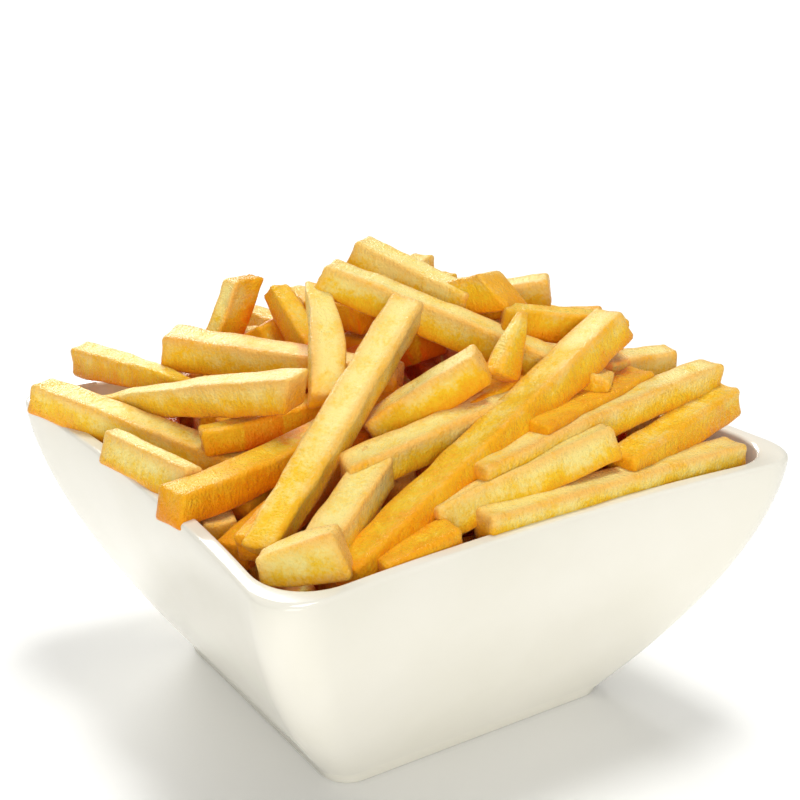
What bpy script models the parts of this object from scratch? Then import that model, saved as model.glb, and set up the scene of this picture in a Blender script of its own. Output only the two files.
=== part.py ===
"""French fries heaped in a square ceramic bowl.

Metres, +Z up. The origin lies on the surface the bowl stands on, under the
middle of the rim. The bowl's sides face -X, +X, -Y and +Y.
"""
import math

import bmesh
import bpy
import numpy as np
from mathutils import Vector

MM = 0.001

# Bowl, in millimetres
RIM_HALF = 70.0          # from the axis to the rim's outer edge at a corner
FOOT_HALF = 39.5         # from the axis to the wall's outer face at the foot
BOWL_HEIGHT = 67.0
FOOT_HEIGHT = 2.2        # upright band under the flaring wall
FLARE_POWER = 1.64       # the wall leans out at the foot and stands upright at the rim
RIM_BOW = 4.3            # how far each rim side is drawn in at its middle
RIM_CORNER = 12.5        # corner radius of the plan at the rim
FOOT_CORNER = 7.0        # corner radius of the plan at the foot
LIP = 4.0                # wall thickness at the rim, flat on top
LIP_ROUND = 1.0          # radius of the lip's two edges
ROOT = 7.0               # wall thickness, measured level, at the foot
FLOOR = 6.5              # height of the cavity's floor
FLOOR_FILLET = 6.0       # height of the curve between cavity wall and floor
RECESS_HALF = 32.0       # hollow under the bowl, inside the foot ring
RECESS_DEPTH = 2.0
FOOT_ROUND = 0.5
SIDE_STEPS = 7           # facets along a side of the plan
CORNER_STEPS = 5         # and round a corner
WALL_STEPS = 7
LIP_STEPS = 3
FILLET_STEPS = 3

# Heap, in millimetres
GAP = 0.4                # room between the fries and the bowl
CORE_WALL = 46.0         # the packed fries touch the bowl's wall up to here
CORE_EDGE = 65.0         # their height just inside the middle of a side
CORE_CORNER = 65.0
CORE_TOP = 97.0
CORE_SHARES = (0.95, 0.9, 0.78, 0.6, 0.4, 0.18)
POCKET_START = 58.0      # out along the two free corners' diagonals, the heap slopes off
POCKET_SLOPE = 0.9
FRY = 8.6                # side of a fry's cut
FRY_CHAMFER = 1.0

# Each fry of the open side: its two ends, (x, y, z) each, along its middle line
OPEN_SIDE_FRIES = (
    ((-64, 50, 71), (-41, -9, 66)),
    ((-52, 66, 74), (-41, 24, 77)),
    ((-64, 13, 72), (-58, -15, 70)),
    ((-64, -20, 70), (-6, -13, 79)),
    ((-39, 40, 82), (-6, -14, 83)),
    ((-57, 42, 70), (-34, -16, 86)),
    ((-50, -1, 74), (-17, -6, 78)),
    ((-14, 45, 94), (-25, 42, 76)),
    ((-10, 36, 93), (-11, 13, 79)),
    ((-12, 14, 100), (-26, -14, 82)),
    ((1, -7, 98), (-58, -43, 66)),
    ((-59, -40, 66), (-20, -17, 72)),
    ((-26, -36, 75), (-50, -52, 66)),
    ((-46, -57, 69), (-61, -48, 66)),
    ((39, -35, 95), (-46, -56, 62)),
    ((-10, 12, 102), (30, -44, 82)),
    ((4, 20, 104), (16, -11, 97)),
    ((21, -16, 101), (9, 8, 93)),
    ((39, -11, 96), (17, 1, 93)),
    ((18, -20, 95), (45, -31, 90)),
    ((2, -35, 92), (-20, -24, 76)),
    ((-34, -36, 74), (14, -38, 84)),
    ((42, -40, 82), (5, -49, 79)),
    ((60, -45, 81), (-12, -52, 74)),
    ((62, -50, 76), (23, -57, 70)),
    ((60, -32, 80), (38, -30, 80)),
    ((22, -56, 77), (-24, -55, 69)),
    ((56, -59, 67), (-16, -60, 68)),
    ((-22, -59, 67), (-40, -59, 63)),
    ((24, -40, 81), (5, -40, 81)),
)

# Fries of the far side are laid by rule over the same mound
FAR_SIDE_FRIES = 18
FAR_SIDE_SEED = 3
MOUND_EDGE = 70.0        # height of the mound's surface at the wall
MOUND_TOP = 99.0
REACH = 60.0             # no fry's end lies further out than this
CORNER_REACH = 66.0      # or further along the far corner's diagonal
SHORT_FRY = 38.0
LONG_FRY = 62.0


def clear_scene():
    for item in list(bpy.data.objects):
        bpy.data.objects.remove(item, do_unlink=True)


def make_material(name, colour, roughness, coat=0.0):
    material = bpy.data.materials.new(name)
    material.use_nodes = True
    shader = material.node_tree.nodes["Principled BSDF"]
    shader.inputs["Base Color"].default_value = (*colour, 1.0)
    shader.inputs["Roughness"].default_value = roughness
    shader.inputs["Metallic"].default_value = 0.0
    shader.inputs["Coat Weight"].default_value = coat
    return material


def rounded_square(half, corner):
    """Plan outline: four sides joined by quarter circles, anticlockwise."""
    along = np.linspace(-1.0, 1.0, SIDE_STEPS, endpoint=False) * (half - corner)
    turn = np.linspace(0.0, math.pi / 2, CORNER_STEPS, endpoint=False)
    side = np.column_stack((np.full(SIDE_STEPS, half), along))
    arc = (half - corner) + corner * np.column_stack((np.cos(turn), np.sin(turn)))
    quarter = np.concatenate((side, arc))
    quarters = []
    for step in range(4):
        x, y = quarter.T
        quarters.append(quarter)
        quarter = np.column_stack((-y, x))
    return np.concatenate(quarters)


def ring(half, corner, bow, height):
    """A rounded square with each side drawn in, most at its middle."""
    plan = rounded_square(half, corner)
    share = plan / half
    drawn = 1.0 - bow / half * (1.0 - share[:, ::-1] ** 2)
    return np.column_stack((plan * drawn, np.full(len(plan), height)))


def flare(height):
    """0 at the foot, 1 at the rim: how far the wall has leaned out."""
    rise = (height - FOOT_HEIGHT) / (BOWL_HEIGHT - FOOT_HEIGHT)
    return 1.0 - (1.0 - min(max(rise, 0.0), 1.0)) ** FLARE_POWER


def outer_half(height):
    return FOOT_HALF + (RIM_HALF - FOOT_HALF) * flare(height)


def thickness(height):
    """Level wall thickness, thinning from the foot to the lip."""
    return ROOT + (LIP - ROOT) * flare(height)


def wall_ring(height, inset):
    """The wall's outline at a height, moved in from the outer face."""
    corner = FOOT_CORNER + (RIM_CORNER - FOOT_CORNER) * flare(height)
    half = outer_half(height) - inset
    return ring(half, corner + 0.8 * inset, RIM_BOW * flare(height), height)


def cavity_rings(top, inset):
    """Outlines of the cavity from a height down to its floor, moved in by inset."""
    lowest = FLOOR + FLOOR_FILLET
    levels = np.linspace(top, lowest, WALL_STEPS)
    rings = [wall_ring(level, thickness(level) + inset) for level in levels]
    lean = outer_half(lowest + 1.0) - outer_half(lowest)
    start = outer_half(lowest) - thickness(lowest) - inset
    for share in np.linspace(0.0, 1.0, FILLET_STEPS + 1)[1:]:
        half = start - 2.0 * FLOOR_FILLET * lean * share
        height = FLOOR + inset + (FLOOR_FILLET - inset) * (1.0 - share) ** 2
        rings.append(ring(half, FOOT_CORNER, 0.0, height))
    return rings


def lip_rings(grow):
    """The lip, from its outer edge over the flat top to its inner edge."""
    centre_height = BOWL_HEIGHT - LIP_ROUND
    radius = LIP_ROUND + grow
    rings = []
    for middle, first in ((LIP_ROUND, 0.0), (LIP - LIP_ROUND, math.pi / 2)):
        for turn in first + np.linspace(0.0, math.pi / 2, LIP_STEPS):
            outline = wall_ring(centre_height, middle - radius * math.cos(turn))
            outline[:, 2] = centre_height + radius * math.sin(turn)
            rings.append(outline)
    return rings


def link(name, mesh):
    """An object of the finished mesh, its faces pointing out."""
    bmesh.ops.triangulate(mesh, faces=mesh.faces)
    bmesh.ops.recalc_face_normals(mesh, faces=mesh.faces)
    if mesh.calc_volume(signed=True) < 0.0:
        bmesh.ops.reverse_faces(mesh, faces=mesh.faces)
    data = bpy.data.meshes.new(name)
    mesh.to_mesh(data)
    mesh.free()
    item = bpy.data.objects.new(name, data)
    bpy.context.scene.collection.objects.link(item)
    return item


def loft(name, rings):
    """One closed skin through the outlines, flat-capped at both ends."""
    mesh = bmesh.new()
    loops = [[mesh.verts.new(Vector(point) * MM) for point in outline] for outline in rings]
    for lower, upper in zip(loops, loops[1:]):
        for here in range(len(lower)):
            mesh.faces.new((lower[here - 1], lower[here], upper[here], upper[here - 1]))
    mesh.faces.new(loops[0])
    mesh.faces.new(loops[-1])
    return link(name, mesh)


def as_guide(item):
    item.hide_render = True
    item.display_type = "WIRE"


def foot_rings():
    """Recess under the bowl, then the ring it stands on, up to the wall."""
    return [
        ring(RECESS_HALF - 1.0, FOOT_CORNER - 2.0, 0.0, RECESS_DEPTH),
        ring(RECESS_HALF, FOOT_CORNER - 1.5, 0.0, RECESS_DEPTH - FOOT_ROUND),
        ring(RECESS_HALF + 0.5, FOOT_CORNER - 1.0, 0.0, FOOT_ROUND),
        ring(RECESS_HALF + 1.0, FOOT_CORNER - 1.0, 0.0, 0.0),
        ring(FOOT_HALF - 2 * FOOT_ROUND, FOOT_CORNER, 0.0, 0.0),
        ring(FOOT_HALF - FOOT_ROUND, FOOT_CORNER, 0.0, FOOT_ROUND),
    ]


def make_bowl():
    lip_foot = BOWL_HEIGHT - LIP_ROUND
    levels = np.linspace(FOOT_HEIGHT, lip_foot, WALL_STEPS + 1)[:-1]
    outside = [wall_ring(level, 0.0) for level in levels]
    inside = cavity_rings(lip_foot, 0.0)[1:]
    bowl = loft("bowl", foot_rings() + outside + lip_rings(0.0) + inside)
    bowl.data.materials.append(make_material("glazed_ceramic", (0.90, 0.87, 0.79), 0.18, 0.5))
    bowl.data.shade_smooth()
    bowl.data.set_sharp_from_angle(angle=math.radians(40))
    return bowl


def make_bowl_clearance():
    """The bowl's own wall grown by the gap, open only below the cavity's floor."""
    lip_foot = BOWL_HEIGHT - LIP_ROUND
    levels = np.linspace(FOOT_HEIGHT, lip_foot, WALL_STEPS + 1)[:-1]
    outside = [wall_ring(level, -GAP) for level in levels]
    inside = cavity_rings(lip_foot, GAP)[1:]
    clearance = loft("bowl_clearance", outside + lip_rings(GAP) + inside)
    as_guide(clearance)
    return clearance


def mound(x, y, edge, corner, top):
    """Height of a heaped surface: full in the middle, low along the walls and corners."""
    across = (np.abs(x) ** 3 + np.abs(y) ** 3) ** (1.0 / 3.0) / REACH
    diagonal = np.clip(np.abs(x) * np.abs(y) / REACH ** 2, 0.0, 1.0)
    fall = np.clip(across, 0.0, 1.0) ** 2
    return top - (top - edge) * fall - (edge - corner) * diagonal ** 2


def pocket(x, y):
    """How far the heap slopes off towards the two free corners, (+X, +Y) and (+X, -Y)."""
    out = (np.asarray(x) + np.abs(y)) / math.sqrt(2.0)
    return POCKET_SLOPE * np.maximum(out - POCKET_START, 0.0)


def make_core():
    """The packed fries under the surface: the cavity's shape with a mound on top."""
    sides = cavity_rings(CORE_WALL, GAP + 0.5)[::-1]
    top = []
    for share in CORE_SHARES:
        outline = sides[-1] * share
        x, y = outline[:, :2].T
        level = mound(x, y, CORE_EDGE, CORE_CORNER, CORE_TOP) - pocket(x, y)
        outline[:, 2] = np.maximum(level, CORE_WALL)
        top.append(outline)
    return loft("fries_heap", sides + top)


def lay_fry(name, start, end, size):
    """A square-cut fry between two points, its four long edges chamfered."""
    start, end = Vector(start), Vector(end)
    mesh = bmesh.new()
    bmesh.ops.create_cube(mesh, size=1.0)
    bmesh.ops.scale(mesh, vec=Vector(((end - start).length, size, size)) * MM, verts=mesh.verts)
    long_edges = [edge for edge in mesh.edges if abs(edge.verts[0].co.x - edge.verts[1].co.x) > MM]
    bmesh.ops.bevel(mesh, geom=long_edges, offset=FRY_CHAMFER * MM, segments=1)
    fry = link(name, mesh)
    fry.location = (start + end) / 2 * MM
    fry.rotation_mode = "QUATERNION"
    fry.rotation_quaternion = (end - start).to_track_quat("X", "Z")
    as_guide(fry)
    return fry


def far_side_ends():
    """Ends of fries strewn over the mound's far side, each along its slope."""
    draw = np.random.default_rng(FAR_SIDE_SEED)
    ends = []
    for number in range(FAR_SIDE_FRIES):
        round_the_axis = math.radians(-25 + 140 * (number + 0.5) / FAR_SIDE_FRIES)
        out = draw.uniform(22.0, 50.0)
        middle = np.array((out * math.cos(round_the_axis), out * math.sin(round_the_axis)))
        heading = draw.uniform(0.0, math.pi)
        half = draw.uniform(SHORT_FRY, LONG_FRY) / 2 * np.array((math.cos(heading), math.sin(heading)))
        pair = np.clip((middle - half, middle + half), -REACH, REACH)
        excess = np.maximum(pair.sum(axis=1) / math.sqrt(2.0) - CORNER_REACH, 0.0)
        pair -= excess[:, None] / math.sqrt(2.0)
        level = mound(*pair.T, MOUND_EDGE, MOUND_EDGE, MOUND_TOP) - draw.uniform(0.0, 5.0)
        ends.append(np.column_stack((pair, level)))
    return ends


def combine(target, operation, other):
    modifier = target.modifiers.new(other.name, "BOOLEAN")
    modifier.operation = operation
    modifier.object = other


def make_heap():
    """One solid: the core, joined to the fries of its surface, clear of the bowl."""
    heap = make_core()
    draw = np.random.default_rng(FAR_SIDE_SEED)
    for number, (start, end) in enumerate((*OPEN_SIDE_FRIES, *far_side_ends())):
        fry = lay_fry(f"fry_{number}", start, end, FRY * draw.uniform(0.9, 1.05))
        combine(heap, "UNION", fry)
    combine(heap, "DIFFERENCE", make_bowl_clearance())
    heap.data.materials.append(make_material("fried_potato", (0.86, 0.56, 0.16), 0.5))
    return heap


clear_scene()
make_bowl()
make_heap()
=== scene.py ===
"""French fries heaped in a square cream-glazed bowl: surfaces, finishes, light and camera.

Lengths are in millimetres until a mesh is made, and +Z is up.
"""
import math
from collections import namedtuple

import bpy
import numpy as np
from mathutils import Matrix, Vector


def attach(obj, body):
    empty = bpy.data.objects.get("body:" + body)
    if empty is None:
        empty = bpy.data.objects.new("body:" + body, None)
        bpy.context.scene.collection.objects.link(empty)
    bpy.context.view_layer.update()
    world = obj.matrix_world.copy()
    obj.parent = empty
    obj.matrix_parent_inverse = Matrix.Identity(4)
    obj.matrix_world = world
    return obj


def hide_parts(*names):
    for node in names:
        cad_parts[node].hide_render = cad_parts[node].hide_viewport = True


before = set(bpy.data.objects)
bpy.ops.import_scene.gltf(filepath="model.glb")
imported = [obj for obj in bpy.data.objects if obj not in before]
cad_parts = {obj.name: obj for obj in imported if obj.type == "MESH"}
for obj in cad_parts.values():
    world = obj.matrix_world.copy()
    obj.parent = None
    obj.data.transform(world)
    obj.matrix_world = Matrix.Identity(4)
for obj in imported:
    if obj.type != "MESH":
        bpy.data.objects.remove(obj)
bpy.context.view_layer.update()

MM = 0.001
TAU = 2.0 * math.pi

# ---------------------------------------------------------------- camera and light
VIEW_AZIMUTH = -33.0      # degrees round from -Y towards +X
VIEW_ELEVATION = 20.9
VIEW_DISTANCE = 384.0
VIEW_LENS = 67.5
VIEW_RIGHT = 2.5          # where the camera aims, across and up from the origin
VIEW_UP = 67.9
LIGHT_DISTANCE = 3000.0
LIGHT_AIM = 0.06          # metres above the floor
WORLD_STRENGTH = 0.30
FLOOR_HALF = 4000.0

# ---------------------------------------------------------------- bowl
RIM_HALF = 70.0           # nominal half side of the rim, before its sides are drawn in
FOOT_HALF = 39.5
BOWL_HEIGHT = 67.0
FOOT_HEIGHT = 2.2         # upright band under the flaring wall
FLARE_POWER = 1.64        # the wall leans out at the foot and stands upright at the rim
RIM_BOW = 4.3             # how far the middle of each side of the rim is drawn in
RIM_CORNER = 12.5
FOOT_CORNER = 7.0
CORNER_GAIN = 0.8         # how much a corner's radius changes for each mm moved in
LIP = 4.0                 # wall thickness at the rim, flat on top
LIP_ROUND = 1.0           # radius of the lip's two edges
ROOT = 7.0                # wall thickness, measured level, at the foot
FLOOR = 6.5
FLOOR_FILLET = 6.0
RECESS_HALF = 32.0        # hollow under the bowl, inside the foot ring
RECESS_DEPTH = 2.0
FOOT_ROUND = 0.5


def linear(code):
    """sRGB hex, such as "#E8B548", as linear red, green, blue and 1."""
    parts = [int(code[i:i + 2], 16) / 255.0 for i in (1, 3, 5)]
    return tuple(c / 12.92 if c <= 0.04045 else ((c + 0.055) / 1.055) ** 2.4 for c in parts) + (1.0,)


def direction(azimuth, elevation):
    """Unit vector from the middle towards an azimuth a and an elevation e in degrees:
    (sin a cos e, -cos a cos e, sin e)."""
    a, e = math.radians(azimuth), math.radians(elevation)
    return np.array((math.sin(a) * math.cos(e), -math.cos(a) * math.cos(e), math.sin(e)))


def view_axes():
    """The open side's view: unit vectors to the right, up, and back to the eye."""
    back = direction(VIEW_AZIMUTH, VIEW_ELEVATION)
    azimuth = math.radians(VIEW_AZIMUTH)
    right = np.array((math.cos(azimuth), math.sin(azimuth), 0.0))
    return right, np.cross(back, right), back


# ================================================================ plan and profile of the bowl
def rounded_square(half, corner, side_steps, corner_steps):
    """Plan outline: four straight sides joined by quarter circles, anticlockwise."""
    along = np.linspace(-1.0, 1.0, side_steps, endpoint=False) * (half - corner)
    turn = np.linspace(0.0, math.pi / 2, corner_steps, endpoint=False)
    side = np.column_stack((np.full(side_steps, half), along))
    arc = (half - corner) + corner * np.column_stack((np.cos(turn), np.sin(turn)))
    quarter = np.concatenate((side, arc))
    turns = (((1, 0), (0, 1)), ((0, -1), (1, 0)), ((-1, 0), (0, -1)), ((0, 1), (-1, 0)))
    return np.concatenate([quarter @ np.array(matrix, float).T for matrix in turns])


def ring(half, corner, bow, height, side_steps=22, corner_steps=14):
    """A rounded square whose sides are drawn in: each coordinate shrinks by
    bow x (1 - the other coordinate's share squared)."""
    plan = rounded_square(half, corner, side_steps, corner_steps)
    drawn = 1.0 - bow / half * (1.0 - (plan / half)[:, ::-1] ** 2)
    return np.column_stack((plan * drawn, np.full(len(plan), height)))


def flare(height):
    """Share of the wall's lean: 0 at the foot, 1 at the rim, 1 - (1 - rise) ** power."""
    rise = np.clip((height - FOOT_HEIGHT) / (BOWL_HEIGHT - FOOT_HEIGHT), 0.0, 1.0)
    return 1.0 - (1.0 - rise) ** FLARE_POWER


def outer_half(height):
    """Half the side of the wall's outer face: foot + (rim - foot) x flare."""
    return FOOT_HALF + (RIM_HALF - FOOT_HALF) * flare(height)


def thickness(height):
    """Level wall thickness: root + (lip - root) x flare."""
    return ROOT + (LIP - ROOT) * flare(height)


def wall_corner(height, inset):
    """Corner radius: foot + (rim - foot) x flare, and a little more further in."""
    return FOOT_CORNER + (RIM_CORNER - FOOT_CORNER) * flare(height) + CORNER_GAIN * inset


def wall_ring(height, inset):
    """The wall's outline at a height, moved in from its outer face."""
    return ring(outer_half(height) - inset, wall_corner(height, inset), RIM_BOW * flare(height), height)


def cavity_rings(top, inset, steps):
    """Outlines of the cavity from a height down its wall, round the fillet, to its floor."""
    lowest = FLOOR + FLOOR_FILLET
    rings = [wall_ring(z, thickness(z) + inset) for z in np.linspace(top, lowest, steps)]
    lean = outer_half(lowest + 1.0) - outer_half(lowest)
    start = outer_half(lowest) - thickness(lowest) - inset
    for share in np.linspace(0.0, 1.0, 9)[1:]:
        half = start - 2.0 * FLOOR_FILLET * lean * share
        height = FLOOR + inset + (FLOOR_FILLET - inset) * (1.0 - share) ** 2
        rings.append(ring(half, FOOT_CORNER, 0.0, height))
    return rings


# ================================================================ meshes
def add_mesh(name, points, faces, smooth=True):
    """An object at the origin from points in millimetres and a list of face index arrays."""
    mesh = bpy.data.meshes.new(name)
    flat = np.concatenate([group.ravel() for group in faces])
    sizes = np.concatenate([np.full(len(group), group.shape[1]) for group in faces])
    starts = np.concatenate(([0], np.cumsum(sizes)[:-1]))
    mesh.vertices.add(len(points))
    mesh.vertices.foreach_set("co", (points * MM).astype(np.float32).ravel())
    mesh.loops.add(len(flat))
    mesh.loops.foreach_set("vertex_index", flat.astype(np.int32))
    mesh.polygons.add(len(sizes))
    mesh.polygons.foreach_set("loop_start", starts.astype(np.int32))
    mesh.update(calc_edges=True)
    mesh.validate()
    if smooth:
        mesh.shade_smooth()
    piece = bpy.data.objects.new(name, mesh)
    bpy.context.scene.collection.objects.link(piece)
    return piece


def skin_faces(rows, around):
    """Faces of a closed skin over rings of points: quads between neighbouring rings, and a
    fan at each end to the two middle points that follow the rings."""
    grid = np.arange(rows * around).reshape(rows, around)
    after = np.roll(grid, -1, axis=1)
    quads = np.stack((grid[:-1], after[:-1], after[1:], grid[1:]), axis=-1).reshape(-1, 4)
    first, last = rows * around, rows * around + 1
    low = np.stack((after[0], grid[0], np.full(around, first)), axis=-1)
    high = np.stack((grid[-1], after[-1], np.full(around, last)), axis=-1)
    return [quads, low, high]


def skin(rings):
    """Points and faces of a closed skin through the rings, with a middle point at each end."""
    points = np.concatenate((*rings, [rings[0].mean(axis=0)], [rings[-1].mean(axis=0)]))
    return points, skin_faces(len(rings), len(rings[0]))


def add_values(piece, values):
    """Stores one number, or one vector, for each point of a piece under each name."""
    for key, rows in values.items():
        vector = rows.shape[1] == 3
        layer = piece.data.attributes.new(key, "FLOAT_VECTOR" if vector else "FLOAT", "POINT")
        layer.data.foreach_set("vector" if vector else "value", rows.astype(np.float32).ravel())


# ================================================================ nodes
def add_node(tree, kind, links=(), **settings):
    """One shader node: settings are its properties or, after "in_", its inputs by name;
    links are (own input, other node, other output)."""
    node = tree.nodes.new(kind)
    for key, value in settings.items():
        if key.startswith("in_"):
            socket = key[3:]
            socket = int(socket) if socket.isdigit() else socket.replace("_", " ")
            node.inputs[socket].default_value = value
        else:
            setattr(node, key, value)
    for socket, source, output in links:
        tree.links.new(source.outputs[output], node.inputs[socket])
    return node


# ================================================================ fries: how each one lies
Fry = namedtuple("Fry", "start end cut roll bend taper tone slant")


def fry(start, end, cut=(8.2, 8.2), roll=0.0, bend=(0.0, 0.0), taper=(1.0, 1.0), tone=0.4,
        slant=(0.0, 0.0)):
    """One fry: the middle of each end; its cut across and up; its roll in degrees; how far its
    middle bows up and sideways; the share of its cut left at each end; tone from 0, pale, to 1,
    brown; and how far each end is cut on the skew, up the fry's height."""
    return Fry(start, end, cut, roll, bend, taper, tone, slant)


# The fries of the open side, each placed by its two ends, from the left corner to the right
OPEN_SIDE = (
    fry((-68.5, 50.5, 72.2), (-41, -9, 66), (7.4, 9.4), 6, (-0.6, 0.5), (0.9, 0.9), 0.15, (0.3, 0.0)),
    fry((-51.5, 66, 73.7), (-41, 24, 77), (7.2, 7.6), 0, (0.0, 0.0), (1.0, 0.5), 0.25),
    fry((-66.4, 13, 71.7), (-59, -15, 70), (4.8, 8.6), -8, (0.0, 0.0), (0.95, 1.0), 0.05, (0.2, 0.0)),
    fry((-67, -20, 69), (-6, -13, 79), (7.8, 7.2), 4, (-1.6, 0.0), (1.05, 1.0), 0.36, (0.35, 0.0)),
    fry((-39, 39.5, 82), (-6, -14, 83), (8.8, 8.8), 0, (0.0, 0.0), (1.02, 0.85), 0.10, (0.2, 0.0)),
    fry((-57, 42.5, 69.5), (-33.5, -15.5, 86.5), (6.6, 9.2), 10, (0.2, 0.0), (0.45, 0.95), 0.05,
        (0.0, -0.7)),
    fry((-50, -1, 73.5), (-17, -5.5, 78), (7.4, 6.8), -6, (-1.0, 0.0), (0.9, 1.0), 0.35),
    fry((-14.5, 45, 94.4), (-25, 42, 76), (5.5, 8.6), 0, (0.0, 0.0), (1.0, 1.0), 0.10, (0.5, 0.0)),
    fry((-16, 36, 84), (-13, 29, 72), (7.4, 7.4), 0, (0.0, 0.0), (1.0, 1.0), 0.40),
    fry((-10.5, 36.5, 92.6), (-11, 13, 79), (6.4, 8.4), 0, (0.0, 0.0), (0.75, 1.0), 0.35, (0.3, 0.0)),
    fry((-12, 13.5, 99.5), (-25.5, -14, 82), (8.6, 5.6), -8, (1.5, 1.2), (0.6, 0.95), 0.00),
    fry((1, -7, 98), (-57.8, -42.6, 65.8), (8.6, 8.0), -6, (1.0, 0.8), (0.9, 0.8), 0.00, (0.2, -0.3)),
    fry((-59, -40.5, 66), (-20, -17, 72), (8.0, 7.8), 0, (0.0, 0.0), (0.8, 1.0), 0.50),
    fry((-26, -36.5, 75.4), (-50, -51.5, 66.5), (8.4, 7.0), -4, (0.0, 0.0), (1.0, 1.0), 0.04, (-0.2, 0.0)),
    fry((-46.5, -57, 69.3), (-61, -48.5, 66), (9.6, 10.0), 10, (0.0, 0.0), (1.0, 0.55), 0.00, (0.2, 0.0)),
    fry((39, -35, 95), (-46, -56, 61.5), (9.0, 8.4), 8, (0.0, 0.0), (0.95, 1.0), 0.20, (0.2, 0.0)),
    fry((-10.4, 12.4, 102.3), (30, -44, 82), (8.0, 8.2), 0, (0.5, 0.0), (0.95, 1.0), 0.05, (0.2, 0.0)),
    fry((4, 20.5, 104.5), (16, -11, 97), (7.8, 7.8), 4, (-0.5, 0.0), (0.9, 0.8), 0.00, (0.25, 0.0)),
    fry((21.2, -16.5, 100.7), (9, 8, 92.7), (8.6, 8.8), 6, (0.0, 0.0), (1.05, 0.8), 0.22, (0.75, 0.0)),
    fry((39, -11, 96), (17, 1, 93), (7.8, 8.0), 0, (0.0, 0.0), (1.0, 1.0), 0.10),
    fry((22, 18, 98.8), (7, 10.5, 97.3), (6.8, 6.4), 0, (0.0, 0.0), (0.85, 1.0), 0.20),
    fry((26, 12, 95.5), (12, 6, 96), (6.0, 5.0), 0, (0.0, 0.0), (0.8, 1.0), 0.25),
    fry((17.5, -20.3, 95.4), (45, -31, 90.5), (7.6, 7.6), 0, (0.0, 0.0), (0.85, 1.0), 0.35),
    fry((49, -19, 90), (38, -6, 86), (7.0, 6.6), 0, (0.0, 0.0), (0.7, 1.0), 0.45),
    fry((15.2, -31, 100.3), (6, -36, 88), (4.6, 7.4), 20, (0.0, 0.0), (0.3, 1.0), 0.15, (0.6, 0.0)),
    fry((2, -35, 92), (-20, -24, 76), (8.6, 8.6), 4, (0.5, 0.0), (0.9, 1.0), 0.12),
    fry((-34, -35.5, 74), (9, -38, 82.5), (7.6, 7.6), 4, (0.0, 0.0), (1.0, 1.0), 0.08, (0.1, 0.0)),
    fry((13, -35, 85.5), (-3, -33, 81), (7.0, 5.6), 0, (0.0, 0.0), (0.8, 1.0), 0.50),
    fry((42.5, -40.5, 81.5), (5, -49, 79), (8.0, 7.0), 0, (0.0, 0.0), (0.85, 1.0), 0.50, (-0.3, 0.0)),
    fry((60.4, -45.3, 81), (-12, -52, 74), (7.8, 7.4), 4, (1.0, 0.0), (0.9, 1.0), 0.12, (-0.2, 0.0)),
    fry((62, -49.8, 76.3), (23, -57, 70), (8.0, 7.6), 0, (0.0, 0.0), (0.95, 1.0), 0.30),
    fry((59.5, -32.5, 80.5), (38, -30, 80.5), (8.0, 8.2), 0, (0.0, 0.0), (0.95, 1.0), 0.12),
    fry((21.5, -56, 77), (-24, -55, 68.5), (5.4, 8.8), 12, (0.0, 0.0), (0.9, 0.85), 0.00, (0.15, 0.0)),
    fry((56, -59, 67.3), (-16, -60, 67.5), (7.4, 6.8), 0, (0.0, 0.0), (0.95, 1.0), 0.12, (0.1, 0.0)),
    fry((-22, -59, 67), (-40, -59, 63), (7.4, 7.2), 0, (0.0, 0.0), (0.9, 1.0), 0.50),
    fry((-60, -34, 62), (-30, -20, 66), (7.6, 7.2), 0, (0.0, 0.0), (0.9, 1.0), 0.60),
    fry((-18, 6, 79), (14, 1, 86), (7.6, 7.4), 0, (0.0, 0.0), (0.95, 1.0), 0.55),
    fry((-61, 58, 62), (-45, 20, 64), (7.4, 7.4), 0, (0.0, 0.0), (0.9, 1.0), 0.60),
)


def as_columns(fries):
    """The fries' facts as one array for each kind, a row for each fry."""
    return Fry(*(np.array([getattr(one, key) for one in fries], float) for key in Fry._fields))


def fry_axes(fries):
    """Length, and unit vectors along each fry, across it (level) and up, square to both."""
    run = fries.end - fries.start
    length = np.linalg.norm(run, axis=1)
    along = run / length[:, None]
    across = np.cross((0.0, 0.0, 1.0), along)
    across /= np.linalg.norm(across, axis=1)[:, None]
    return length, along, across, np.cross(along, across)


# ================================================================ fries: where the rest come to lie
CELL = 1.0                # the height map's step
MAP_HALF = 72.0
STATIONS = 27             # places along a fry where it is tested for support
MAP_SIDE = int(2 * MAP_HALF / CELL) + 1
VIEW_CELLS = 154          # cells across and up in the view of the open side
VIEW_SCALE = 256.0        # cells for each unit of the view, 1.5 mm wide at the heap
VIEW_HALF = 0.3           # half the view's width, in those units
CORE_DEPTH = 38.0         # the core's top lies this far under the heap's surface
CORE_WALL = 44.0          # and its sides end at this height
HEAP_TOP = 99.0           # the heap's surface: its height in the middle,
HEAP_FALL = 30.0          # its fall on the way out to the rim,
HEAP_HALF = 61.0          # and how far out that is
CORNER_FROM = 60.0        # beyond here it slopes off towards the two free corners
CORNER_SLOPE = 0.9
STEEPEST = 0.7            # strewn fries: the most they may slope,
FURTHEST = 64.0           # the furthest out their ends may reach,
WIDTHS = (7.2, 8.8)       # and their cut across and up
THICKNESSES = (7.0, 8.6)


def heap_level(x, y):
    """The heap's surface: 99 mm in the middle, falling with the square of the way out to
    69 mm along the rim, and less towards the two free corners."""
    across = np.clip((np.abs(x) ** 3 + np.abs(y) ** 3) ** (1.0 / 3.0) / HEAP_HALF, 0.0, 1.1)
    out = (x + np.abs(y)) / math.sqrt(2.0)
    return HEAP_TOP - HEAP_FALL * across ** 2 - CORNER_SLOPE * np.maximum(out - CORNER_FROM, 0.0)


def cell(x, y):
    """The height map's cell for each point: (place + half the map) / step, rounded."""
    grid = np.rint((np.stack((x, y)) + MAP_HALF) / CELL).astype(int)
    return np.clip(grid, 0, MAP_SIDE - 1)


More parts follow.
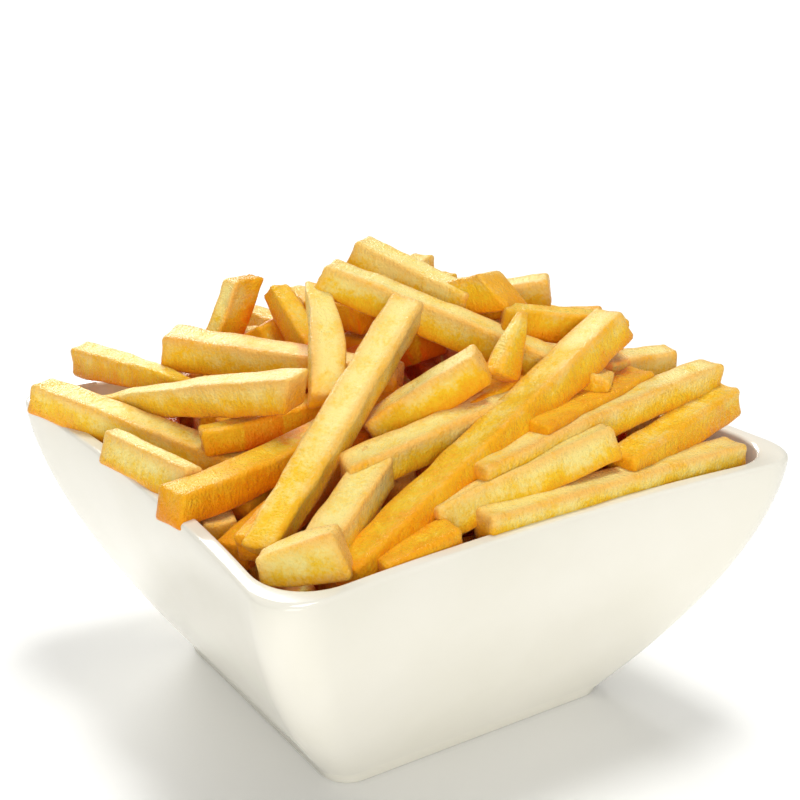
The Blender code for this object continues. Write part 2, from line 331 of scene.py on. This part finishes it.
def within(x, y, outline_half, corner, bow):
    """Whether points lie inside a bowed rounded square: undo the bow, then measure from the
    corner's centre."""
    px, py = np.array(x, float), np.array(y, float)
    for _ in range(3):
        px, py = (x / (1.0 - bow / outline_half * (1.0 - np.clip(py / outline_half, -1, 1) ** 2)),
                  y / (1.0 - bow / outline_half * (1.0 - np.clip(px / outline_half, -1, 1) ** 2)))
    reach = outline_half - corner
    beyond = np.hypot(np.maximum(np.abs(px) - reach, 0.0), np.maximum(np.abs(py) - reach, 0.0))
    return beyond <= corner


def bowl_map():
    """Height of the bowl's inside over the plan: its floor, its wall where a point leaves the
    cavity's outline, the lip, and nothing beyond the rim."""
    axis = np.arange(MAP_SIDE) * CELL - MAP_HALF
    x, y = np.meshgrid(axis, axis, indexing="ij")
    height = np.full(x.shape, FLOOR)
    for z in np.arange(FLOOR + 2.0, BOWL_HEIGHT, 1.5):
        inset = thickness(z)
        inside = within(x, y, outer_half(z) - inset, wall_corner(z, inset), RIM_BOW * flare(z))
        height[~inside] = z + 1.5
    return height


def footprint(fries):
    """Points over each fry's middle plane, about 1 mm apart, shaped (fries, along, across),
    and each fry's up vector."""
    _, _, across, up = fry_axes(fries)
    share = np.linspace(0.0, 1.0, 90)[None, :, None, None]
    side = np.linspace(-0.5, 0.5, 11)[None, None, :]
    run = (fries.end - fries.start)[:, None, None, :]
    place = (fries.start[:, None, None, :] + run * share
             + across[:, None, None, :] * (side * fries.cut[:, 0, None, None])[..., None])
    return place, up


def half_height(fries, up):
    """From each fry's middle plane straight up to its top: half its cut / the slant's cosine."""
    return 0.5 * fries.cut[:, 1, None, None] / np.maximum(up[:, 2], 0.5)[:, None, None]


def raise_map(height, fries):
    """Marks the fries' tops on a height map."""
    place, up = footprint(fries)
    top = place[..., 2] + half_height(fries, up)
    i, j = cell(place[..., 0], place[..., 1])
    np.maximum.at(height, (i.ravel(), j.ravel()), top.ravel())


def underside(fries):
    """The lowest side of the open side's fries over the plan: the room below them."""
    ceiling = np.full((MAP_SIDE, MAP_SIDE), 200.0)
    place, up = footprint(fries)
    low = place[..., 2] - half_height(fries, up)
    i, j = cell(place[..., 0], place[..., 1])
    np.minimum.at(ceiling, (i.ravel(), j.ravel()), low.ravel())
    return ceiling


def drop(height, ceiling, x, y, heading, length, width, thick):
    """Lays candidate fries on the height map. Each comes to rest on the highest chord over
    its middle: of all pairs of supports, one on either side, the pair whose line passes
    highest under the middle. Returns that height, the slope, and the room left above."""
    away = np.linspace(-0.5, 0.5, STATIONS)[None, :] * length[:, None]
    side = np.linspace(-0.36, 0.36, 5)[None, None, :] * width[:, None, None]
    cos, sin = np.cos(heading)[:, None, None], np.sin(heading)[:, None, None]
    px = x[:, None, None] + away[..., None] * cos - side * sin
    py = y[:, None, None] + away[..., None] * sin + side * cos
    i, j = cell(px, py)
    support = height[i, j].max(axis=2)
    half = STATIONS // 2
    left, right = support[:, :half], support[:, half + 1:]
    left_away, right_away = away[:, :half], away[:, half + 1:]
    span = right_away[:, None, :] - left_away[:, :, None]
    chord = (left[:, :, None] * right_away[:, None, :]
             - right[:, None, :] * left_away[:, :, None]) / span
    best = chord.reshape(len(x), -1).argmax(axis=1)
    a, b = np.unravel_index(best, (half, half))
    rows = np.arange(len(x))
    slope = (right[rows, b] - left[rows, a]) / span[rows, a, b]
    rest = np.maximum(chord[rows, a, b], support[:, half])
    over = rest[:, None] + slope[:, None] * away + thick[:, None] * np.sqrt(1.0 + slope[:, None] ** 2)
    room = (ceiling[i, j].min(axis=2) - over).min(axis=1)
    gap = (rest[:, None] + slope[:, None] * away - support).mean(axis=1)
    return rest, slope, room, gap


def seen_from_open_side(points):
    """Where points stand in the view of the open side: their cell across and up, and how far
    away they are."""
    right, up, back = view_axes()
    away = VIEW_DISTANCE - points @ back
    across = ((points @ right - VIEW_RIGHT) / away + VIEW_HALF) * VIEW_SCALE
    rise = ((points @ up - VIEW_UP) / away + VIEW_HALF) * VIEW_SCALE
    i, j = (np.clip(share, 0, VIEW_CELLS - 1).astype(int) for share in (across, rise))
    return i, j, away


def open_side_screen(fries):
    """The open side's fries as that side shows them: for each cell of the view how near
    the nearest of them stands, and for each upright strip of cells their highest cell."""
    place, up = footprint(fries)
    lift = 0.5 * fries.cut[:, 1, None, None, None] * up[:, None, None, :]
    place = np.stack((place - lift, place, place + lift))
    i, j, away = seen_from_open_side(place)
    nearest = np.full((VIEW_CELLS, VIEW_CELLS), 1e3)
    np.minimum.at(nearest, (i.ravel(), j.ravel()), away.ravel())
    top = np.full(VIEW_CELLS, -1)
    np.maximum.at(top, i.ravel(), j.ravel())
    nearest[nearest == 1e3] = 0.0
    return nearest, top


def shows(screen, x, y, middle, slope, heading, reach, width, thick):
    """Which candidate fries would stand in front of the open side's, or above them."""
    nearest, top = screen
    x, y, middle, slope, heading, reach, width, thick = (
        fact[:, None, None, None] for fact in (x, y, middle, slope, heading, reach, width, thick))
    away = np.linspace(-1.0, 1.0, 21)[None, :, None, None] * reach
    side = np.linspace(-0.5, 0.5, 3)[None, None, :, None] * width
    lift = np.linspace(-0.5, 0.5, 2)[None, None, None, :] * thick
    cos, sin = np.cos(heading), np.sin(heading)
    points = np.stack(np.broadcast_arrays(x + away * cos - side * sin, y + away * sin + side * cos,
                                          middle + slope * away + lift), axis=-1)
    i, j, far = seen_from_open_side(points)
    before = far < nearest[i, j] - 1.0
    above = j > top[i] - 1
    return (before.mean(axis=(1, 2, 3)) > 0.02) | above.any(axis=(1, 2, 3))


def strew(draw, height, ceiling, screen, count, region, sizes, slack, tries):
    """Drops fries one after another, each into the deepest hollow that one of many random
    tries finds under the heap's surface, and all where the open side's fries hide them from
    that side. Slack is how far above the surface their tops may stand."""
    laid = []
    for _ in range(count):
        x, y = draw.uniform(*region[0], tries), draw.uniform(*region[1], tries)
        heading = draw.uniform(0.0, math.pi, tries)
        length = draw.uniform(*sizes, tries)
        width = draw.uniform(*WIDTHS, tries)
        thick = draw.uniform(*THICKNESSES, tries)
        rest, slope, room, gap = drop(height, ceiling, x, y, heading, length, width, thick)
        middle = rest + 0.5 * thick
        over = middle + 0.5 * thick - heap_level(x, y)
        reach = 0.5 * length / np.sqrt(1.0 + slope ** 2)
        ends = np.stack((x - reach * np.cos(heading), y - reach * np.sin(heading),
                         x + reach * np.cos(heading), y + reach * np.sin(heading)))
        far = np.abs(ends).max(axis=0)
        steep = np.abs(slope)
        bad = (room < 0.0) | (steep > STEEPEST) | (far > FURTHEST) | (over > slack)
        bad |= shows(screen, x, y, middle, slope, heading, reach, width, thick)
        score = over + 6.0 * steep + 1.2 * gap + np.where(bad, 1e3, 0.0)
        pick = int(score.argmin())
        if bad[pick]:
            continue
        step = np.array((math.cos(heading[pick]), math.sin(heading[pick]), slope[pick]))
        centre = np.array((x[pick], y[pick], middle[pick] + 0.15))
        roll = draw.uniform(-5, 5)
        bend = (draw.uniform(-0.6, 0.6), draw.uniform(-1.5, 1.5))
        taper = tuple(draw.uniform(0.78, 1.0, 2))
        tone = draw.uniform(0.0, 0.5)
        slant = tuple(draw.uniform(-0.3, 0.3, 2))
        new = fry(centre - step * reach[pick], centre + step * reach[pick],
                  (width[pick], thick[pick]), roll, bend, taper, tone, slant)
        laid.append(new)
        raise_map(height, as_columns([new]))
    return laid


# ================================================================ fries: the shape of one
FLAT = 4                  # grid steps along each flat of the cut
ROUND = 3                 # and round each edge
EDGE = 0.9                # radius of the softened edges
HOLLOW = 0.25             # how far each flat has shrunk in
CAP_SHARES = np.array((0.55, 0.85, 0.96))      # a fry's cut share at its last rings
CAP_DEPTHS = np.array((0.0, 0.12, 0.40))       # and how far each lies in from the end
BODY_FROM = 0.95          # and how far in the full cut begins
SLANT_REACH = 7.0         # how far along a skewed end pulls the fry's skin,
RAGGED_REACH = 0.6        # and a ragged one
DIMPLES = ((1, 19.0, 0.10), (2, 12.0, 0.07), (3, 8.0, 0.04), (5, 5.5, 0.02))  # turns, mm along, depth


def cut_outline():
    """The cut's outline: for each point its place along the flats (-1 to 1), its offset
    round an edge, and how far the flat is hollowed there."""
    along = np.linspace(-1.0, 1.0, FLAT, endpoint=False)
    turn = np.linspace(0.0, math.pi / 2, ROUND, endpoint=False)
    flat = np.column_stack((np.ones(FLAT), along, np.ones(FLAT), np.zeros(FLAT), 1.0 - along ** 2))
    edge = np.column_stack((np.ones(ROUND), np.ones(ROUND), np.cos(turn), np.sin(turn),
                            np.zeros(ROUND)))
    quarter = np.concatenate((flat, edge))
    quarters = []
    for _ in range(4):
        quarters.append(quarter)
        quarter = np.column_stack((-quarter[:, 1], quarter[:, 0], -quarter[:, 3], quarter[:, 2],
                                   quarter[:, 4]))
    return np.concatenate(quarters)


def slow_waves(draw, count, s, length, size):
    """A sum of three slow sines along each fry, of about 30, 18 and 11 mm, each weaker."""
    total = np.zeros((count, s.shape[1]))
    for period, share in ((30.0, 1.0), (18.0, 0.6), (11.0, 0.4)):
        turns = length[:, None] / (period * draw.uniform(0.8, 1.25, (count, 1)))
        total += share * np.sin(TAU * (turns * s + draw.uniform(0.0, 1.0, (count, 1))))
    return size * total


def fry_bodies(fries, draw, stations):
    """Skins of all fries at once. Along each middle line, a bowed straight, the rounded cut
    is carried with its taper, twist and slow unevenness; skewed, softened caps close it.
    Returns points, each point's place along, across and up its own fry, and each ring's
    share of the full cut."""
    count = len(fries.tone)
    length, along, across, up = fry_axes(fries)
    body = BODY_FROM + (length[:, None] - 2 * BODY_FROM) * np.linspace(0.0, 1.0, stations)
    lead = np.broadcast_to(CAP_DEPTHS, (count, len(CAP_DEPTHS)))
    way = np.concatenate((lead, body, length[:, None] - lead[:, ::-1]), axis=1)
    s = way / length[:, None]
    cap = np.concatenate((CAP_SHARES, np.ones(stations), CAP_SHARES[::-1]))
    flat_x, flat_y, edge_x, edge_y, dent = cut_outline().T
    rows, around = len(cap), len(dent)

    # half the cut across and up, at each ring
    taper = 1.0 + (fries.taper[:, :1] - 1.0) * (1 - s) ** 2 + (fries.taper[:, 1:] - 1.0) * s ** 2
    half_x = 0.5 * fries.cut[:, :1] * taper * (1.0 + slow_waves(draw, count, s, length, 0.020))
    half_y = 0.5 * fries.cut[:, 1:] * taper * (1.0 + slow_waves(draw, count, s, length, 0.020))
    edge = np.minimum(EDGE * draw.uniform(0.75, 1.25, (count, 1)), 0.7 * np.minimum(half_x, half_y))
    lean = draw.uniform(-0.09, 0.09, (count, 1, 1))
    inset = HOLLOW * draw.uniform(0.3, 1.5, (count, 1, 1)) * dent
    side = (half_x - edge)[..., None] * flat_x + edge[..., None] * edge_x
    rise = (half_y - edge)[..., None] * flat_y + edge[..., None] * edge_y
    side = side * (1.0 + lean * flat_y) - inset * np.where(np.abs(edge_x) > 0.99, np.sign(edge_x), 0.0)
    rise = rise - inset * np.where(np.abs(edge_y) > 0.99, np.sign(edge_y), 0.0)

    # slow dimples in the skin: waves along and round the fry
    turn = np.linspace(0.0, TAU, around, endpoint=False)
    dimple = np.zeros((count, rows, around))
    for turns, period, size in DIMPLES:
        wave = length[:, None, None] / (period * draw.uniform(0.8, 1.25, (count, 1, 1)))
        spin = turns * draw.choice((-1.0, 1.0), (count, 1, 1))
        start = draw.uniform(0.0, TAU, (count, 1, 1))
        dimple += size * np.sin(TAU * wave * s[..., None] + spin * turn + start)
    grow = (1.0 + dimple / np.maximum(np.hypot(side, rise), 2.5)) * cap[:, None]
    side, rise = side * grow, rise * grow
    place_x, place_y = side, rise

    # roll, with a slight twist from end to end
    twist = np.radians(fries.roll[:, None] + draw.uniform(-7.0, 7.0, (count, 1)) * (s - 0.5))
    cos, sin = np.cos(twist)[..., None], np.sin(twist)[..., None]
    side, rise = side * cos - rise * sin, side * sin + rise * cos

    # skewed, slightly ragged ends: close to an end, height on the fry shifts a point along
    from_start, from_end = way[..., None], (length[:, None] - way)[..., None]
    fall_start = np.exp(-from_start / SLANT_REACH)
    fall_end = np.exp(-from_end / SLANT_REACH)
    sideways = draw.uniform(-0.22, 0.22, (count, 2, 1, 1))
    shift = (fall_start * (fries.slant[:, :1, None] * rise + sideways[:, 0] * side)
             - fall_end * (fries.slant[:, 1:, None] * rise + sideways[:, 1] * side))
    ragged = np.exp(-from_start / RAGGED_REACH) + np.exp(-from_end / RAGGED_REACH)
    shift += ragged * draw.normal(0.0, 0.10, (count, rows, around))
    bow = (4.0 * s * (1 - s))[..., None]
    points = (fries.start[:, None, None, :]
              + (way[..., None] + shift)[..., None] * along[:, None, None, :]
              + (side + bow * fries.bend[:, 1:, None])[..., None] * across[:, None, None, :]
              + (rise + bow * fries.bend[:, :1, None])[..., None] * up[:, None, None, :])
    place = np.stack((np.broadcast_to(way[..., None], side.shape), place_x, place_y), axis=-1)
    return points, place, cap


def make_fries(name, fries, draw, stations, material, height):
    """One mesh of many fries, with each point's place on its own fry; its tone, made paler on
    top by painted light and browner towards a low end by painted shade; how near it is to an edge
    or end, as (share of the way out) squared or exp(-distance / 2.2 mm); and a painted shade by
    how far under the heap's top it lies, from 0 at 6 mm to 1 at 26 mm."""
    facts = as_columns(fries)
    points, place, cap = fry_bodies(facts, draw, stations)
    count, rows, around = points.shape[:3]
    size = rows * around + 2
    step = (np.arange(count) * size)[:, None, None]
    faces = [(group[None] + step).reshape(-1, group.shape[1]) for group in skin_faces(rows, around)]

    def with_poles(values):
        """The values of each fry's rings, then the means of its first and last ring."""
        body = values.reshape(count, rows * around, -1)
        ends = np.stack((values[:, 0].mean(axis=1), values[:, -1].mean(axis=1)), axis=1)
        return np.concatenate((body, ends), axis=1).reshape(count * size, -1)

    piece = add_mesh(name, with_poles(points), faces)
    seed = draw.uniform(0.0, 400.0, (count, 1, 1, 3))
    own_place = with_poles(place + seed)
    half = np.stack((facts.cut[:, 0], facts.cut[:, 1]), axis=-1)[:, None, None, :] / 2
    near_edge = np.clip((np.abs(place[..., 1:]) / half).min(axis=-1), 0.0, 1.0) ** 2
    length = np.linalg.norm(facts.end - facts.start, axis=1)[:, None, None]
    near_end = np.exp(-np.minimum(place[..., 0], length - place[..., 0]).clip(0.0) / 2.2)
    crisp = with_poles(np.maximum(near_edge * (cap == 1.0)[None, :, None], 0.8 * near_end)[..., None])
    # painted light: a point higher on the fry's cut is made paler, as the top catches the light
    painted_light_top = place[..., 2] / half[..., 1]
    highest = np.maximum(facts.start[:, 2], facts.end[:, 2])[:, None, None]
    # painted shade: a point lower than the fry's high end is made browner
    painted_shade_low = np.clip((highest - points[..., 2]) / 30.0, 0.0, 1.0)
    tone_with_painted_light = facts.tone[:, None, None] + 0.08 - 0.2 * painted_light_top + 0.35 * painted_shade_low
    tone = with_poles(tone_with_painted_light[..., None]).clip(0.0, 1.0)
    spots = with_poles(points)
    i, j = cell(spots[:, 0], spots[:, 1])
    # painted shade: a point more than 6 mm under the heap's top is mixed toward red-orange in the material
    painted_shade_depth = np.clip((height[i, j] - spots[:, 2] - 6.0) / 20.0, 0.0, 1.0)[:, None]
    add_values(piece, {"own_place": own_place, "tone": tone, "crisp": crisp, "painted_shade_depth": painted_shade_depth})
    piece.data.materials.append(material)
    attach(piece, "root")
    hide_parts("fries_heap")


# ================================================================ finishes
def fried_crust():
    """Fried potato: a thin oily crust over pale, light-scattering flesh. Fine blisters
    roughen it and catch small glints; patches, edges and tips are browned; points low in the heap
    get a painted shade, mixed toward red-orange; and light spreads about a millimetre under the skin."""
    material = bpy.data.materials.new("fried_potato_crust")
    material.use_nodes = True
    tree = material.node_tree
    shader = tree.nodes["Principled BSDF"]
    place = add_node(tree, "ShaderNodeAttribute", attribute_name="own_place")
    # tone carries each fry's own tone, with painted light on its top and painted shade towards its low end
    tone = add_node(tree, "ShaderNodeAttribute", attribute_name="tone")
    crisp = add_node(tree, "ShaderNodeAttribute", attribute_name="crisp")
    painted_shade_depth = add_node(tree, "ShaderNodeAttribute", attribute_name="painted_shade_depth")
    across = add_node(tree, "ShaderNodeVectorMath", ((0, place, 1),), operation="MULTIPLY",
                      in_1=(1.0, 0.4, 0.4))
    wrinkle = add_node(tree, "ShaderNodeTexNoise", ((0, across, 0),), in_Scale=0.9, in_Detail=2.0)
    patches = add_node(tree, "ShaderNodeTexNoise", ((0, place, 1),), in_Scale=0.17, in_Detail=4.0,
                       in_Roughness=0.6)
    speckle = add_node(tree, "ShaderNodeTexNoise", ((0, place, 1),), in_Scale=1.3, in_Detail=3.0,
                       in_Roughness=0.6)
    blister = add_node(tree, "ShaderNodeTexNoise", ((0, place, 1),), in_Scale=1.8, in_Detail=3.0,
                       in_Roughness=0.6)
    spread = add_node(tree, "ShaderNodeMapRange", ((0, patches, 0),), in_1=0.3, in_2=0.7,
                      in_3=-0.16, in_4=0.16)
    fleck = add_node(tree, "ShaderNodeMapRange", ((0, speckle, 0),), in_1=0.3, in_2=0.7,
                     in_3=-0.1, in_4=0.1)
    tone_patch = add_node(tree, "ShaderNodeMath", ((0, tone, 2), (1, spread, 0)), operation="ADD")
    tone_here = add_node(tree, "ShaderNodeMath", ((0, tone_patch, 0), (1, fleck, 0)), operation="ADD",
                         use_clamp=True)
    ramp = add_node(tree, "ShaderNodeValToRGB", ((0, tone_here, 0),))
    stops = ((0.0, "#FDE890"), (0.26, "#F8CA2A"), (0.6, "#F29E0A"), (1.0, "#CC5E02"))
    while len(ramp.color_ramp.elements) < len(stops):
        ramp.color_ramp.elements.new(0.5)
    for element, (position, code) in zip(ramp.color_ramp.elements, stops):
        element.position, element.color = position, linear(code)
    browned = add_node(tree, "ShaderNodeMapRange", ((0, crisp, 2),), in_1=0.1, in_2=1.0,
                       in_3=0.0, in_4=0.75)
    crusted = add_node(tree, "ShaderNodeMix", ((0, browned, 0), (6, ramp, 0)), data_type="RGBA",
                       blend_type="MIX", in_7=linear("#F09808"))
    # painted shade: the buried points are mixed up to 90 per cent toward dark red-orange
    painted_shade_share = add_node(tree, "ShaderNodeMath", ((0, painted_shade_depth, 2),), operation="MULTIPLY", in_1=0.9)
    painted_shade_mix = add_node(tree, "ShaderNodeMix", ((0, painted_shade_share, 0), (6, crusted, 2)), data_type="RGBA",
                    blend_type="MIX", in_7=linear("#F84402"))
    tree.links.new(painted_shade_mix.outputs[2], shader.inputs["Base Color"])
    skin_height = add_node(tree, "ShaderNodeMath", ((0, wrinkle, 0), (1, blister, 0)), operation="ADD")
    bump = add_node(tree, "ShaderNodeBump", ((3, skin_height, 0),), in_0=1.0, in_1=0.0004)
    gloss = add_node(tree, "ShaderNodeMapRange", ((0, speckle, 0),), in_1=0.35, in_2=0.65,
                     in_3=0.22, in_4=0.45)
    tree.links.new(gloss.outputs[0], shader.inputs["Roughness"])
    tree.links.new(bump.outputs[0], shader.inputs["Normal"])
    shader.inputs["Specular Tint"].default_value = linear("#FFCE61")
    shader.inputs["Specular IOR Level"].default_value = 0.5
    shader.inputs["Coat Weight"].default_value = 0.1
    shader.inputs["Coat Roughness"].default_value = 0.25
    tree.links.new(bump.outputs[0], shader.inputs["Coat Normal"])
    shader.inputs["Subsurface Weight"].default_value = 0.15
    shader.inputs["Subsurface Radius"].default_value = (1.0, 0.8, 0.5)
    shader.inputs["Subsurface Scale"].default_value = 0.001
    shader.inputs["Sheen Weight"].default_value = 0.12
    shader.inputs["Sheen Roughness"].default_value = 0.35
    shader.inputs["Sheen Tint"].default_value = linear("#FFF6DC")
    return material


def glaze():
    """Stoneware under a cream gloss glaze: smooth enough for sharp highlights on a warm
    white, with faint clouding about 30 mm across."""
    material = bpy.data.materials.new("cream_glazed_stoneware")
    material.use_nodes = True
    tree = material.node_tree
    shader = tree.nodes["Principled BSDF"]
    place = add_node(tree, "ShaderNodeTexCoord")
    cloud = add_node(tree, "ShaderNodeTexNoise", ((0, place, 3),), in_Scale=35.0, in_Detail=3.0)
    ramp = add_node(tree, "ShaderNodeValToRGB", ((0, cloud, 0),))
    for element, (position, code) in zip(ramp.color_ramp.elements, ((0.3, "#E9E5D6"), (0.7, "#EDE9DC"))):
        element.position, element.color = position, linear(code)
    tree.links.new(ramp.outputs[0], shader.inputs["Base Color"])
    shader.inputs["Roughness"].default_value = 0.12
    return material


# ================================================================ pieces
def make_bowl():
    """The bowl: a recess and foot ring, the wall's outer face, the flat lip with two
    quarter-round edges, and the cavity down to its floor, in one closed skin."""
    lip_foot = BOWL_HEIGHT - LIP_ROUND
    foot = [
        ring(RECESS_HALF - 1.0, FOOT_CORNER - 2.0, 0.0, RECESS_DEPTH),
        ring(RECESS_HALF, FOOT_CORNER - 1.5, 0.0, RECESS_DEPTH - FOOT_ROUND),
        ring(RECESS_HALF + 0.5, FOOT_CORNER - 1.0, 0.0, FOOT_ROUND),
        ring(RECESS_HALF + 1.0, FOOT_CORNER - 1.0, 0.0, 0.0),
        ring(FOOT_HALF - 2 * FOOT_ROUND, FOOT_CORNER, 0.0, 0.0),
        ring(FOOT_HALF - FOOT_ROUND, FOOT_CORNER, 0.0, FOOT_ROUND),
    ]
    outside = [wall_ring(z, 0.0) for z in np.linspace(FOOT_HEIGHT, lip_foot, 26)[:-1]]
    lip = []
    for middle, first in ((LIP_ROUND, 0.0), (LIP - LIP_ROUND, math.pi / 2)):
        for turn in first + np.linspace(0.0, math.pi / 2, 7):
            outline = wall_ring(lip_foot, middle - LIP_ROUND * math.cos(turn))
            outline[:, 2] += LIP_ROUND * math.sin(turn)
            lip.append(outline)
    inside = cavity_rings(lip_foot, 0.0, 22)[1:]
    piece = add_mesh("bowl_glazed", *skin(foot + outside + lip + inside))
    piece.data.materials.append(glaze())
    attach(piece, "root")
    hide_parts("bowl")


def make_core(material):
    """The buried middle of the heap, well under its surface and clear of the glaze."""
    sides = cavity_rings(CORE_WALL, 0.5, 10)[::-1]
    top = []
    for share in np.linspace(0.96, 0.08, 12):
        outline = sides[-1] * share
        outline[:, 2] = np.maximum(heap_level(outline[:, 0], outline[:, 1]) - CORE_DEPTH, CORE_WALL)
        top.append(outline)
    points, faces = skin(sides + top)
    piece = add_mesh("fries_core", points, faces)
    every = np.ones((len(points), 1))
    # painted shade: the core is coloured as the most buried fries, brown tone 0.9 and full painted shade
    add_values(piece, {"tone": 0.9 * every, "crisp": 0.0 * every, "painted_shade_depth": every, "own_place": points})
    piece.data.materials.append(material)
    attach(piece, "root")
    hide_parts("fries_heap")


def make_heap():
    """The open side's fries, those that fill in below them, and those of the far side."""
    material = fried_crust()
    make_core(material)
    draw = np.random.default_rng(11)
    height = bowl_map()
    axis = np.arange(MAP_SIDE) * CELL - MAP_HALF
    x, y = np.meshgrid(axis, axis, indexing="ij")
    inside = height < 50.0
    height = np.where(inside, np.maximum(height, heap_level(x, y) - CORE_DEPTH), height)
    open_side = as_columns(OPEN_SIDE)
    ceiling = underside(open_side)
    screen = open_side_screen(open_side)
    whole, back = ((-60, 60), (-60, 60)), ((-52, 64), (-30, 64))
    bed = strew(draw, height, ceiling, screen, 90, whole, (36.0, 66.0), -3.0, 1500)
    bed += strew(draw, height, ceiling, screen, 120, whole, (12.0, 28.0), -3.0, 2500)
    raise_map(height, open_side)
    ceiling[:] = 300.0
    far = strew(draw, height, ceiling, screen, 90, back, (30.0, 66.0), 6.0, 2500)
    far += strew(draw, height, ceiling, screen, 80, back, (14.0, 30.0), 6.0, 2500)
    make_fries("fries_hand_laid", OPEN_SIDE, draw, 60, material, height)
    make_fries("fries_bed", bed, draw, 24, material, height)
    make_fries("fries_far_side", far, draw, 50, material, height)


# ================================================================ stage
def make_stage():
    """A plain pale floor."""
    corners = FLOOR_HALF * np.array(((-1, -1, 0), (1, -1, 0), (1, 1, 0), (-1, 1, 0)), float)
    floor = add_mesh("floor", corners, [np.array(((0, 1, 2, 3),))], smooth=False)
    material = bpy.data.materials.new("pale_floor")
    material.use_nodes = True
    shader = material.node_tree.nodes["Principled BSDF"]
    shader.inputs["Base Color"].default_value = linear("#FAFAF8")
    shader.inputs["Roughness"].default_value = 0.9
    floor.data.materials.append(material)


def add_light(name, azimuth, elevation, size, power):
    """A square white soft box that looks at the heap from a direction."""
    back = Vector(direction(azimuth, elevation))
    light = bpy.data.lights.new(name, "AREA")
    light.shape, light.size, light.energy = "SQUARE", size * MM, power
    lamp = bpy.data.objects.new(name, light)
    lamp.location = back * LIGHT_DISTANCE * MM + Vector((0, 0, LIGHT_AIM))
    lamp.rotation_euler = back.to_track_quat("Z", "Y").to_euler()
    bpy.context.scene.collection.objects.link(lamp)


def light_scene():
    """Soft white studio light: from behind, from overhead and from the open side."""
    world = bpy.data.worlds.new("studio")
    bpy.context.scene.world = world
    world.use_nodes = True
    world.node_tree.nodes["Background"].inputs["Color"].default_value = linear("#FFFFFF")
    world.node_tree.nodes["Background"].inputs["Strength"].default_value = WORLD_STRENGTH
    add_light("back", 168.0, 24.0, 1400.0, 54.0)
    add_light("overhead", 110.0, 80.0, 900.0, 50.0)
    add_light("front", -32.0, 16.0, 1800.0, 48.0)
    bpy.context.scene.view_settings.view_transform = "Standard"


def make_camera():
    """The camera that sees the open side."""
    right, up, back = (Vector(axis) for axis in view_axes())
    data = bpy.data.cameras.new("camera")
    data.lens, data.sensor_width = VIEW_LENS, 36.0
    camera = bpy.data.objects.new("camera", data)
    turn = Matrix((right, up, back)).transposed().to_4x4()
    place = (right * VIEW_RIGHT + up * VIEW_UP + back * VIEW_DISTANCE) * MM
    camera.matrix_world = Matrix.Translation(place) @ turn
    bpy.context.scene.collection.objects.link(camera)
    bpy.context.scene.camera = camera


make_camera()
make_bowl()
make_heap()
make_stage()
light_scene()
